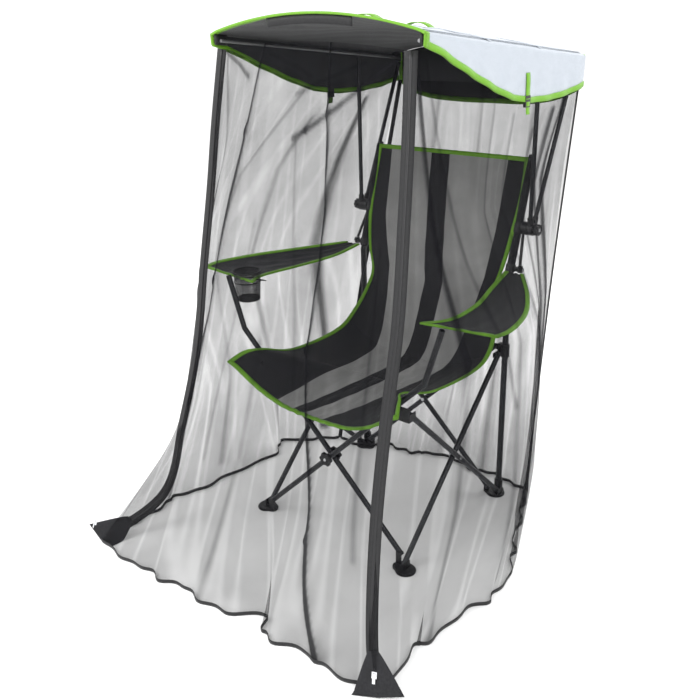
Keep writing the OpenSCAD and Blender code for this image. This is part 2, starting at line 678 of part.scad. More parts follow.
net_right_panel();
net_rear_panel();
net_hem();
net_zip_tapes();
front_left_zip_slider();
front_right_zip_slider();
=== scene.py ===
"""Looks of a folding canopy chair with a floor-length insect net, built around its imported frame."""
import math

import bmesh
import bpy
import numpy as np
from bpy.props import FloatProperty, FloatVectorProperty, IntProperty, PointerProperty
from mathutils import Matrix, Vector


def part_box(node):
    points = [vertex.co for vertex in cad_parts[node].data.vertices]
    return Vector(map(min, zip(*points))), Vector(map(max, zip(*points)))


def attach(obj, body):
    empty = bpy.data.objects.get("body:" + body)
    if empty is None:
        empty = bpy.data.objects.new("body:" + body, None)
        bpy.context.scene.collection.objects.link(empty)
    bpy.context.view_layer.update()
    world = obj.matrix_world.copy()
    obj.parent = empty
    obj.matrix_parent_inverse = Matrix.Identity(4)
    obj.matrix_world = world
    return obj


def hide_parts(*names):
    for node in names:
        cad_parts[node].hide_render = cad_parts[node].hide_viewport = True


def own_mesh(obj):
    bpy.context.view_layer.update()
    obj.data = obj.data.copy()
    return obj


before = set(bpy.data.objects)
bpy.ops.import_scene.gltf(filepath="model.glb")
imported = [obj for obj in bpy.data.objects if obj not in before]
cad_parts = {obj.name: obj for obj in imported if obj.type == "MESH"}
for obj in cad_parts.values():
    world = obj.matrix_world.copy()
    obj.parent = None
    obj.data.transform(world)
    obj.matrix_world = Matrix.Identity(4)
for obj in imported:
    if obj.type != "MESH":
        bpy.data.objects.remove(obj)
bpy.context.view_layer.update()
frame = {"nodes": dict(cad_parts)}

bl_info = {
    "name": "Canopy chair with insect net",
    "version": (1, 0, 0),
    "blender": (4, 5, 0),
    "location": "3D View > Sidebar > Canopy Chair",
    "description": "Cloth, net and finishes for a folding canopy chair",
    "category": "Object",
}

# how far an edge tape reaches past its cloth, and its thickness as a multiple of the cloth's
BINDING_WRAP = 0.002
SLING_BINDING = 2.4
CANOPY_BINDING = 3.4


# ---- places taken from the frame ---------------------------------------------

def middle(node):
    low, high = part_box(node)
    return (low + high) / 2


MID_Y = middle("left_cross_rivet").y
FOLD_X = middle("rear_left_foot").x


def at(x, y, z):
    """A point given in metres from the middle of the frame on the ground."""
    return Vector((x, y + MID_Y, z))


def smooth(t):
    t = np.clip(t, 0.0, 1.0)
    return t * t * (3 - 2 * t)


def spline(points, t):
    """Catmull-Rom curve through points, read at t from 0 to 1; t is an array."""
    p = np.array([list(q) for q in points], float)
    p = np.vstack([2 * p[0] - p[1], p, 2 * p[-1] - p[-2]])
    spans = len(p) - 3
    x = np.clip(np.asarray(t, float), 0, 1) * spans
    i = np.minimum(x.astype(int), spans - 1)
    f = (x - i)[..., None]
    a, b, c, d = p[i], p[i + 1], p[i + 2], p[i + 3]
    square, cube = 2 * a - 5 * b + 4 * c - d, 3 * b - a - 3 * c + d
    return 0.5 * (2 * b + (c - a) * f + square * f ** 2 + cube * f ** 3)


# ---- sizes and colours -------------------------------------------------------

def colour_slot(name, description, default):
    return FloatVectorProperty(name=name, description=description, subtype="COLOR", default=default,
                               min=0, max=1)


def length_slot(name, description, default, low, high, **more):
    return FloatProperty(name=name, description=description, subtype="DISTANCE", unit="LENGTH",
                         default=default, min=low, max=high, **more)


class FrameSettings(bpy.types.PropertyGroup):
    steel: colour_slot("Steel", "Powder coat of the tubes", (0.022, 0.023, 0.026))
    plastic: colour_slot("Plastic", "Moulded feet, hubs and brackets", (0.006, 0.006, 0.007))


class ClothSettings(bpy.types.PropertyGroup):
    black: colour_slot("Black cloth", "Woven polyester of the seat", (0.0055, 0.0055, 0.0075))
    mesh: colour_slot("Mesh bands", "Light open weave in the seat", (0.30, 0.30, 0.295))
    binding: colour_slot("Binding", "Edge tape of seat and canopy", (0.125, 0.32, 0.008))
    binding_width: length_slot("Binding width", "Width of the edge tape", 0.013, 0.006, 0.03)
    thickness: length_slot("Cloth thickness", "Thickness of the seat cloth", 0.0022, 0.001, 0.005)


class CanopySettings(bpy.types.PropertyGroup):
    outside: colour_slot("Outside", "Coated cloth on top", (0.36, 0.39, 0.43))
    lining: colour_slot("Lining", "Cloth on the underside", (0.012, 0.0125, 0.015))
    thickness: length_slot("Thickness", "Thickness of the canopy cloth", 0.0016, 0.0008, 0.004)


class NetSettings(bpy.types.PropertyGroup):
    cover: FloatProperty(name="Cover", description="Share of the light that one layer stops",
                         subtype="FACTOR", default=0.27, min=0.05, max=0.8)
    pitch: length_slot("Mesh pitch", "Distance between threads", 0.0016, 0.0008, 0.004, precision=4)
    columns: IntProperty(name="Columns", description="Columns of faces across one panel", default=170,
                         min=40, max=260)
    rows: IntProperty(name="Rows", description="Rows of faces down one panel", default=230, min=40, max=320)
    tape_width: length_slot("Zip tape width", "Width of a corner zip with its tapes", 0.030, 0.02, 0.06)


class ChairSettings(bpy.types.PropertyGroup):
    frame: PointerProperty(type=FrameSettings)
    cloth: PointerProperty(type=ClothSettings)
    canopy: PointerProperty(type=CanopySettings)
    net: PointerProperty(type=NetSettings)


def settings():
    return bpy.context.scene.canopy_chair


# ---- materials -----------------------------------------------------------------

class Shader:
    """A node material that is put together one node at a time."""

    def __init__(self, name, **values):
        self.material = bpy.data.materials.new(name)
        self.material.use_nodes = True
        self.tree = self.material.node_tree
        self.tree.nodes.clear()
        self.out = self.tree.nodes.new("ShaderNodeOutputMaterial")
        self.bsdf = self.add("ShaderNodeBsdfPrincipled", **values)
        self.join(self.bsdf.outputs[0], self.out.inputs["Surface"])

    def add(self, kind, props=None, **values):
        node = self.tree.nodes.new(kind)
        for key, value in (props or {}).items():
            setattr(node, key, value)
        for key, value in values.items():
            socket = node.inputs[key.replace("_", " ")]
            if hasattr(value, "is_output"):
                self.tree.links.new(value, socket)
            else:
                socket.default_value = value
        return node

    def join(self, a, b):
        self.tree.links.new(a, b)

    def place(self):
        return self.tree.nodes.new("ShaderNodeTexCoord").outputs["Object"]

    def cloth_place(self):
        return self.add("ShaderNodeUVMap", {"uv_map": "cloth"}).outputs[0]

    def noise(self, scale, place, detail=4.0, roughness=0.55):
        return self.add("ShaderNodeTexNoise", Vector=place, Scale=scale, Detail=detail,
                        Roughness=roughness).outputs["Fac"]

    def ramp(self, value, low, high, a, b):
        node = self.add("ShaderNodeMapRange", Value=value)
        node.inputs["From Min"].default_value = low
        node.inputs["From Max"].default_value = high
        node.inputs["To Min"].default_value = a
        node.inputs["To Max"].default_value = b
        return node.outputs[0]

    def math(self, kind, a, b):
        node = self.tree.nodes.new("ShaderNodeMath")
        node.operation = kind
        for socket, value in zip(node.inputs, (a, b)):
            if hasattr(value, "is_output"):
                self.join(value, socket)
            else:
                socket.default_value = value
        return node.outputs[0]

    def mix(self, factor, a, b):
        node = self.tree.nodes.new("ShaderNodeMix")
        node.data_type = "RGBA"
        for socket, value in zip((node.inputs[0], node.inputs[6], node.inputs[7]), (factor, a, b)):
            if hasattr(value, "is_output"):
                self.join(value, socket)
            else:
                socket.default_value = value if isinstance(value, float) else (*value, 1.0)
        return node.outputs[2]

    def colour(self, factor, a, b):
        self.join(self.mix(factor, a, b), self.bsdf.inputs["Base Color"])

    def rough(self, scale, place, low, high):
        """Roughness that drifts between low and high."""
        self.join(self.ramp(self.noise(scale, place), 0.3, 0.7, low, high), self.bsdf.inputs["Roughness"])

    def bands(self, direction, place, pitch):
        """Waves across the cloth's X or Y, a pitch in metres apart."""
        return self.add("ShaderNodeTexWave", {"bands_direction": direction}, Vector=place,
                        Scale=math.tau / 20 / pitch).outputs["Fac"]

    def bump(self, height, strength, distance):
        node = self.add("ShaderNodeBump", Height=height, Strength=strength, Distance=distance)
        self.join(node.outputs[0], self.bsdf.inputs["Normal"])

    def weave(self, pitch, place):
        """Height of a plain weave, from 0 to 1."""
        return self.math("MULTIPLY", self.bands("X", place, pitch), self.bands("Y", place, pitch))


def tone(colour, factor):
    return tuple(min(1.0, c * factor) for c in colour)


def powder_coat():
    colour = tuple(settings().frame.steel)
    s = Shader("powder_coat", Metallic=0.35)
    place = s.place()
    worn = s.ramp(s.noise(38.0, place), 0.35, 0.72, 0.0, 1.0)
    s.colour(worn, tone(colour, 0.8), tone(colour, 1.5))
    s.rough(70.0, place, 0.30, 0.44)
    s.bump(s.noise(900.0, place, 2.0), 0.25, 0.0003)
    return s.material


def grey_rod():
    s = Shader("grey_rod", Metallic=0.6)
    place = s.place()
    s.colour(s.noise(60.0, place), (0.16, 0.16, 0.165), (0.24, 0.24, 0.245))
    s.rough(90.0, place, 0.28, 0.42)
    return s.material


def nylon():
    colour = tuple(settings().frame.plastic)
    s = Shader("black_nylon")
    place = s.place()
    s.colour(s.noise(55.0, place), tone(colour, 0.75), tone(colour, 1.7))
    s.rough(120.0, place, 0.34, 0.50)
    s.bump(s.noise(1500.0, place, 2.0), 0.3, 0.0002)
    return s.material


def plated():
    s = Shader("plated_steel", Metallic=1.0)
    place = s.place()
    s.colour(s.noise(120.0, place), (0.62, 0.63, 0.65), (0.80, 0.81, 0.83))
    s.rough(200.0, place, 0.14, 0.30)
    return s.material


def woven(name, colour, pitch=0.0009, depth=0.0002, sheen=0.06, spread=0.45):
    """Plain-weave cloth on a piece with a cloth UV map in metres."""
    s = Shader(name, Sheen_Weight=sheen, Sheen_Roughness=0.45)
    place = s.cloth_place()
    weave = s.weave(pitch, place)
    blotch = s.ramp(s.noise(26.0, place, 5.0), 0.3, 0.7, 0.0, 1.0)
    body = s.mix(blotch, tone(colour, 1 - spread), tone(colour, 1 + spread))
    s.colour(s.math("MULTIPLY", weave, 0.5), body, tone(colour, 2.1))
    s.rough(160.0, place, 0.72, 0.9)
    s.bump(weave, 0.6, depth)
    return s.material


def open_mesh():
    """Light knitted mesh with small holes in staggered rows, the holes painted dark as painted shade seen
    through them.
    """
    colour = tuple(settings().cloth.mesh)
    s = Shader("grey_mesh", Sheen_Weight=0.2, Sheen_Roughness=0.5)
    place = s.cloth_place()
    holes = s.add("ShaderNodeTexVoronoi", {"voronoi_dimensions": "2D"}, Vector=place, Scale=520.0,
                  Randomness=0.12).outputs["Distance"]
    # painted shade: each hole is painted dark for the shade seen through the open mesh
    painted_hole_shade = s.ramp(holes, 0.18, 0.34, 0.6, 0.0)
    blotch = s.ramp(s.noise(14.0, place, 5.0), 0.3, 0.7, 0.0, 1.0)
    body = s.mix(blotch, tone(colour, 0.86), tone(colour, 1.12))
    s.colour(painted_hole_shade, body, tone(colour, 0.25))
    s.rough(160.0, place, 0.62, 0.8)
    s.bump(holes, 0.5, 0.0003)
    return s.material


def ribbed(name, colour, pitch=0.0022):
    """Grosgrain tape: ribs across its length."""
    s = Shader(name, Sheen_Weight=0.08, Sheen_Roughness=0.35)
    place = s.cloth_place()
    ribs = s.bands("X", place, pitch)
    body = s.mix(s.noise(60.0, place), tone(colour, 0.86), tone(colour, 1.16))
    s.colour(s.math("MULTIPLY", ribs, 0.28), body, tone(colour, 1.45))
    s.rough(180.0, place, 0.5, 0.68)
    s.bump(ribs, 0.5, 0.0004)
    return s.material


def netting():
    """Fine black mesh: see-through, denser where the crowd attribute says that it bunches."""
    net = settings().net
    s = Shader("insect_net", Roughness=0.8, Specular_IOR_Level=0.04)
    place = s.cloth_place()
    crowd = s.tree.nodes.new("ShaderNodeAttribute")
    crowd.attribute_name = "crowd"
    threads = s.weave(net.pitch, place)
    cover = s.math("MULTIPLY", s.ramp(threads, 0.0, 1.0, 1.25, 0.35), net.cover)
    loose = s.ramp(s.noise(7.0, place, 6.0, 0.6), 0.3, 0.7, 0.85, 1.2)
    cover = s.math("MULTIPLY", cover, loose)
    cover = s.math("ADD", cover, crowd.outputs["Fac"])
    s.join(s.math("MINIMUM", cover, 0.94), s.bsdf.inputs["Alpha"])
    s.colour(s.noise(30.0, place), (0.004, 0.004, 0.005), (0.010, 0.010, 0.012))
    return s.material


def cup_mesh():
    """Open black mesh of the cup holder, on a piece with a cloth UV map in metres."""
    s = Shader("cup_mesh", Roughness=0.7)
    place = s.cloth_place()
    holes = s.add("ShaderNodeTexVoronoi", {"voronoi_dimensions": "2D"}, Vector=place, Scale=260.0,
                  Randomness=0.1).outputs["Distance"]
    s.join(s.ramp(holes, 0.28, 0.42, 0.12, 1.0), s.bsdf.inputs["Alpha"])
    s.colour(s.noise(90.0, place), (0.008, 0.008, 0.009), (0.020, 0.020, 0.022))
    s.bump(holes, 0.4, 0.0004)
    return s.material


def floor_finish():
    s = Shader("pale_floor", Specular_IOR_Level=0.1)
    place = s.place()
    s.colour(s.noise(1.5, place), (0.90, 0.90, 0.90), (0.93, 0.93, 0.93))
    s.rough(3.0, place, 0.8, 0.95)
    return s.material


FINISHES = {
    "steel": powder_coat,
    "rod": grey_rod,
    "nylon": nylon,
    "plated": plated,
    "black_cloth": lambda: woven("black_cloth", tuple(settings().cloth.black)),
    "grey_mesh": open_mesh,
    "binding": lambda: ribbed("lime_binding", tuple(settings().cloth.binding)),
    "webbing": lambda: ribbed("lime_webbing", tuple(settings().cloth.binding), 0.0016),
    "canopy_top": lambda: woven("canopy_top", tuple(settings().canopy.outside), 0.0006, 0.0001, 0.15, 0.05),
    "lining": lambda: woven("canopy_lining", tuple(settings().canopy.lining), 0.0006, 0.0001, 0.2, 0.3),
    "black_tape": lambda: ribbed("black_tape", (0.005, 0.005, 0.006), 0.0018),
    "net": netting,
    "cup_mesh": cup_mesh,
    "floor": floor_finish,
}
made = {}


def finish_of(key):
    if key not in made:
        made[key] = FINISHES[key]()
    return made[key]


# ---- building helpers ------------------------------------------------------------

def piece(name, mesh, materials, body, slot, replaces=(), squash=None):
    """Links a finished mesh as a piece that rides on a body; squash, its axis, anchor and kept share, is only
    checked for being given, and then the piece gets its own copy of the mesh.
    """
    obj = bpy.data.objects.new(name, mesh)
    bpy.context.scene.collection.objects.link(obj)
    for key in materials:
        mesh.materials.append(finish_of(key))
    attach(obj, body)
    if replaces:
        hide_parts(*replaces)
    if squash:
        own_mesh(obj)
    return obj


def mesh_of(bm, name, smooth_faces=True):
    for face in bm.faces:
        face.smooth = smooth_faces
    mesh = bpy.data.meshes.new(name)
    bm.to_mesh(mesh)
    bm.free()
    return mesh


def sheet_mesh(name, columns, rows, shape, flat, thickness=0.0, mark=None, crowd=None, inside=None):
    """A grid whose points are shape(u, v), with a cloth UV map in metres and, if asked, a solid thickness.

    mark(u, v) gives each face's material number, crowd(u, v) how much denser the cloth looks there, and
    inside(centre, normal) says that a face of the solid is on the lined side and takes the next material."""
    bm = bmesh.new()
    bmesh.ops.create_grid(bm, x_segments=columns, y_segments=rows, size=0.5)
    bm.verts.ensure_lookup_table()
    uv = np.array([(v.co.x + 0.5, v.co.y + 0.5) for v in bm.verts])
    points = shape(uv[:, 0], uv[:, 1])
    layer = bm.loops.layers.uv.new("cloth")
    for face in bm.faces:
        centre = uv[[v.index for v in face.verts]].mean(0)
        if mark:
            face.material_index = int(mark(*centre))
        for loop in face.loops:
            loop[layer].uv = uv[loop.vert.index] * flat
    for vert, point in zip(bm.verts, points):
        vert.co = point
    if crowd is not None:
        density = bm.verts.layers.float.new("crowd")
        for vert, value in zip(bm.verts, crowd(uv[:, 0], uv[:, 1])):
            vert[density] = float(value)
    bm.normal_update()
    if thickness:
        bmesh.ops.solidify(bm, geom=bm.faces[:], thickness=thickness)
        bmesh.ops.recalc_face_normals(bm, faces=bm.faces[:])
        if inside:
            for face in bm.faces:
                if inside(face.calc_center_median(), face.normal):
                    face.material_index += 1
    return mesh_of(bm, name)


def tube_mesh(name, points, radius, sides=20):
    """Round tube along a list of points, closed at both ends."""
    path = np.array([tuple(p) for p in points], float)
    along = np.gradient(path, axis=0)
    along /= np.linalg.norm(along, axis=1)[:, None]
    first = np.cross(along, (1.0, 0.0, 0.0))
    first /= np.linalg.norm(first, axis=1)[:, None]
    second = np.cross(along, first)
    last = len(path) - 1
    length = np.linalg.norm(np.diff(path, axis=0), axis=1).sum()

    def shape(u, v):
        x = v * last
        i = np.minimum(x.astype(int), last - 1)
        f = (x - i)[:, None]
        turn = (u * math.tau)[:, None]
        reach = np.cos(turn) * (first[i] * (1 - f) + first[i + 1] * f) + \
            np.sin(turn) * (second[i] * (1 - f) + second[i + 1] * f)
        return path[i] * (1 - f) + path[i + 1] * f + reach * radius

    mesh = sheet_mesh(name, sides, last, shape, (math.tau * radius, length))
    bm = bmesh.new()
    bm.from_mesh(mesh)
    bpy.data.meshes.remove(mesh)
    bmesh.ops.remove_doubles(bm, verts=bm.verts[:], dist=1e-6)
    bmesh.ops.holes_fill(bm, edges=[e for e in bm.edges if e.is_boundary], sides=sides + 1)
    bmesh.ops.recalc_face_normals(bm, faces=bm.faces[:])
    return mesh_of(bm, name)


def ribbon_mesh(name, path, across, width, thickness, steps=None, start=-0.5):
    """Flat tape along a path; across gives the direction over its width at each point of the path."""
    path, across = np.array(path, float), np.array(across, float)
    across = np.broadcast_to(across, path.shape)
    length = np.linalg.norm(np.diff(path, axis=0), axis=1).sum()
    steps = steps or len(path) - 1
    proud = np.cross(np.gradient(path, axis=0), across)
    proud /= np.maximum(np.linalg.norm(proud, axis=1)[:, None], 1e-9)
    path = path + proud * thickness / 2

    def shape(u, v):
        x = u * (len(path) - 1)
        i = np.minimum(x.astype(int), len(path) - 2)
        f = (x - i)[:, None]
        middle_line = path[i] * (1 - f) + path[i + 1] * f
        return middle_line + (across[i] * (1 - f) + across[i + 1] * f) * ((v + start) * width)[:, None]

    return sheet_mesh(name, steps, 2, shape, (length, width), thickness)


def binding_mesh(name, surface, edges, width, thickness):
    """Tape folded over edges of a surface; an edge is its (u, v) line and the (u, v) line inside it."""
    tapes = []
    for outer, inner in edges:
        path = surface(*outer)
        inward = surface(*inner) - path
        inward /= np.maximum(np.linalg.norm(inward, axis=1)[:, None], 1e-6)
        tapes.append(ribbon_mesh("tape", path - inward * BINDING_WRAP, inward, width, thickness, start=0.0))
    return joined(name, tapes)


def joined(name, meshes):
    """One mesh from several, with their material numbers kept."""
    bm = bmesh.new()
    for mesh in meshes:
        bm.from_mesh(mesh)
        bpy.data.meshes.remove(mesh)
    return mesh_of(bm, name)


def joined_piece(name, meshes, *rest):
    """A piece made of several meshes; the rest is what piece() takes after the mesh."""
    return piece(name, joined(name, meshes), *rest)


def turned_mesh(name, profile, centre, axis=(0, 0, 1), steps=48):
    """Profile of (radius, height) points spun about an axis through centre."""
    turn = Vector((0, 0, 1)).rotation_difference(Vector(axis)).to_matrix()
    bm = bmesh.new()
    verts = [bm.verts.new((r, 0, h)) for r, h in profile]
    edges = [bm.edges.new(pair) for pair in zip(verts, verts[1:])]
    bmesh.ops.spin(bm, geom=verts + edges, cent=(0, 0, 0), axis=(0, 0, 1), angle=math.tau, steps=steps,
                   use_merge=True)
    bmesh.ops.remove_doubles(bm, verts=bm.verts[:], dist=1e-6)
    bmesh.ops.recalc_face_normals(bm, faces=bm.faces[:])
    layer = bm.loops.layers.uv.new("cloth")
    for face in bm.faces:
        angles = [math.atan2(loop.vert.co.y, loop.vert.co.x) for loop in face.loops]
        for loop, angle in zip(face.loops, angles):
            if max(angles) - min(angles) > math.pi and angle < 0:
                angle += math.tau
            loop[layer].uv = (angle * profile[0][0], loop.vert.co.z)
    bmesh.ops.transform(bm, matrix=Matrix.Translation(centre) @ turn.to_4x4(), verts=bm.verts[:])
    return mesh_of(bm, name)


def ring_profile(radius, thick, height=0.0, steps=10):
    """Closed round section for a hoop."""
    return [(radius + thick * math.cos(math.tau * i / steps), height + thick * math.sin(math.tau * i / steps))
            for i in range(steps + 1)]


def mirrored(points, sign):
    return [(sign * x, y, z) for x, y, z in points]


def world_points(points):
    return [tuple(at(*p)) for p in points]


def resampled(points, count):
    return spline(world_points(points), np.linspace(0, 1, count))


# ---- pieces: frame ---------------------------------------------------------------

STEEL_NODES = ("front_left_leg_tube", "front_right_leg_tube", "rear_left_leg_tube", "rear_right_leg_tube",
               "left_side_tube_from_front", "left_side_tube_from_rear", "left_upright", "right_upright",
               "right_side_tube_from_front", "right_side_tube_from_rear", "left_front_canopy_arm",
               "left_rear_canopy_arm", "right_front_canopy_arm", "right_rear_canopy_arm")
ROD_NODES = ("left_roof_rail", "right_roof_rail")
PLATED_NODES = ("left_cross_rivet", "right_cross_rivet", "rear_cross_rivet", "front_left_zip_slider",
                "front_right_zip_slider")


class CHAIR_OT_frame(bpy.types.Operator):
    """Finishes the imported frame: powder-coated tubes, nylon fittings and plated rivets"""
    bl_idname = "canopy_chair.frame"
    bl_label = "Frame finishes"

    def execute(self, context):
        for name, obj in frame["nodes"].items():
            key = "steel" if name in STEEL_NODES else "rod" if name in ROD_NODES else \
                "plated" if name in PLATED_NODES else "nylon"
            obj.data.materials.clear()
            obj.data.materials.append(finish_of(key))
        return {"FINISHED"}


class CHAIR_OT_rivets(bpy.types.Operator):
    """Adds domed rivet heads where the tubes turn on each other and on the fittings"""
    bl_idname = "canopy_chair.rivets"
    bl_label = "Rivet heads"

    def execute(self, context):
        dome = [(0.0, 0.0026), (0.0022, 0.0023), (0.0042, 0.0013), (0.0052, 0.0), (0.0052, -0.0006),
                (0.0, -0.0006)]
        spots = []
        for side, sx, leg in (("left", -1, "rear_left_leg"), ("right", 1, "rear_right_leg")):
            for node, part, body, rise in (("tilt_knob", "knob_cap", f"{side}_knob", 0.0),
                                           ("arm_bracket", "arm_stud", leg, 0.001)):
                low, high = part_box(f"{side}_{node}")
                centre = middle(f"{side}_{node}")
                face = high.x if sx > 0 else low.x
                spots.append((f"{side}_{part}", (face, centre.y, centre.z + rise), (sx, 0, 0), body))
        centre = middle("front_hub")
        spots.append(("front_hub_rivet", (centre.x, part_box("front_hub")[0].y, centre.z), (0, -1, 0),
                      "front_tube_left"))
        for name, centre, axis, body in spots:
            piece(name, turned_mesh(name, dome, Vector(centre), axis, 24), ["plated"], body, "rivet")
        return {"FINISHED"}


# ---- pieces: seat and back ---------------------------------------------------------

# from the seat's front to the back's top, along the middle and along the right edge
SLING_MIDDLE = [(0, -.312, .425), (0, -.2, .421), (0, -.05, .421), (0, .08, .427), (0, .15, .442),
                (0, .178, .47), (0, .195, .52), (0, .215, .60), (0, .235, .69), (0, .258, .76), (0, .29, .85),
                (0, .325, .965), (0, .362, 1.075)]
SLING_EDGE = [(.31, -.335, .53), (.285, -.29, .555), (.262, -.245, .553), (.266, -.1, .505),
              (.275, .12, .50), (.268, .215, .555), (.24, .255, .64), (.232, .265, .69), (.25, .275, .75),
              (.262, .288, .81), (.27, .305, .875), (.275, .335, .962), (.272, .365, 1.074)]
# where the mesh bands run, at the front of the seat, its rear, the lumbar, the shoulders and the top
BAND_AT = (0.0, 4 / 12, 8 / 12, 10 / 12, 1.0)
BANDS = ((-.145, -.14, -.15, -.20, -.22), (-.09, -.035, 0.0, -.034, -.064), (-.05, .03, .065, .034, .003),
         (.015, .13, .20, .21, .207))
SEAT_SPLIT, BACK_SPLIT = 2.5 / 12, 4.4 / 12


def sling_point(u, v):
    """Point of the sling: u from the left edge to the right over five bands, v from the front to the top."""
    centre = spline(world_points(SLING_MIDDLE), v)
    edge = spline(world_points(SLING_EDGE), v)
    half_width = edge[:, 0]
    knots = np.stack([-half_width, *[np.interp(v, BAND_AT, b) for b in BANDS], half_width])
    place = u * 5
    i = np.minimum(place.astype(int), 4)
    pick = np.arange(len(u))
    x = knots[i, pick] + (knots[i + 1, pick] - knots[i, pick]) * (place - i)
    a = np.abs(x) / half_width
    seat = np.interp(a, (0, .2, .38, .52, .66, .8, .91, 1), (0, .012, .06, .19, .37, .64, .88, 1))
    back = a ** 2
    blend = smooth((v - 0.36) / 0.2)
    g = seat * (1 - blend) + back * blend
    y = centre[:, 1] + (edge[:, 1] - centre[:, 1]) * g
    z = centre[:, 2] + (edge[:, 2] - centre[:, 2]) * g
    pull = 0.0022 * np.sin(x * 190 + v * 9) * np.sin(v * 60 + x * 24) * (1 - a) * 0.8
    return np.stack([x, y - pull * blend, z + pull * (1 - blend)], 1)


FOLD_SEAT = ((1, 0, 0), (FOLD_X, 0, 0), 0.27)
FOLD_ROOF = ((1, 0, 0), (middle("left_roof_rail").x, 0, 0), 0.37)


def sling_piece(name, v0, v1, rows, body, nodes, flat, edges):
    """Part of the sling between v0 and v1, with the lime binding along the named free edges."""
    cloth = settings().cloth

    def shape(u, v):
        return sling_point(u, v0 + (v1 - v0) * v)

    mesh = sheet_mesh(name, 100, rows, shape, flat, cloth.thickness, mark=lambda u, v: int(u * 5) in (1, 3))
    across, along = np.linspace(0, 1, 90), np.linspace(0, 1, rows)
    lines = {"left": ((along * 0, along), (along * 0 + 0.06, along)),
             "right": ((along * 0 + 1, along), (along * 0 + 0.94, along)),
             "front": ((across, across * 0), (across, across * 0 + 0.06)),
             "top": ((across, across * 0 + 1), (across, across * 0 + 0.94))}
    bound = binding_mesh(name + "_binding", shape, [lines[edge] for edge in edges], cloth.binding_width,
                         cloth.thickness * SLING_BINDING)
    obj = piece(name, mesh, ["black_cloth", "grey_mesh"], body, "cloth", nodes, FOLD_SEAT)
    tape = piece(name + "_binding", bound, ["binding"], body, "webbing", (), FOLD_SEAT)


class CHAIR_OT_sling(bpy.types.Operator):
    """Seat and back: one sling in three lengths with mesh bands and a lime binding"""
    bl_idname = "canopy_chair.sling"
    bl_label = "Seat and back"

    def execute(self, context):
        sling_piece("seat_front", 0.0, SEAT_SPLIT, 40, "seat_front", ["seat_front_cloth"], (0.62, 0.28),
                    ["front", "left", "right"])
        sling_piece("seat_rear", SEAT_SPLIT, BACK_SPLIT, 40, "seat_rear", ["seat_rear_cloth"], (0.62, 0.205),
                    ["left", "right"])
        sling_piece("backrest", BACK_SPLIT, 1.0, 90, "rear_left_leg", ["back_cloth", "low_back_cloth"],
                    (0.55, 0.63), ["top", "left", "right"])
        sleeves = []
        for sign in (-1, 1):
            path = resampled(mirrored([(.276, .275, .752), (.276, .303, .84), (.276, .333, .94),
                                       (.276, .374, 1.074)], sign), 24)
            sleeves.append(tube_mesh("sleeve", path, 0.0122, 20))
        joined_piece("back_sleeves", sleeves, ["black_cloth"], "rear_left_leg", "cloth", (),
              FOLD_SEAT)
        return {"FINISHED"}


# ---- pieces: arm rests and cup holder ------------------------------------------------

ARM_OUTER = [(.515, -.215, .757), (.522, -.15, .758), (.49, -.02, .756), (.42, .12, .757), (.335, .25, .762)]
ARM_INNER = [(.30, -.222, .748), (.335, -.14, .742), (.325, 0.0, .738), (.292, .14, .745), (.276, .25, .762)]
CUP = (-.362, -.184)


def arm_point(sign, u, v):
    outer = spline(world_points(mirrored(ARM_OUTER, sign)), v)
    inner = spline(world_points(mirrored(ARM_INNER, sign)), v)
    point = inner + (outer - inner) * u[:, None]
    sag = 0.010 * np.sin(np.pi * u) * np.sin(np.pi * np.clip(v, 0, 1)) ** 0.7
    crease = 0.0015 * np.sin(u * 21 + v * 8) * np.sin(v * 17)
    point[:, 2] -= sag + crease * np.sin(np.pi * u)
    return point


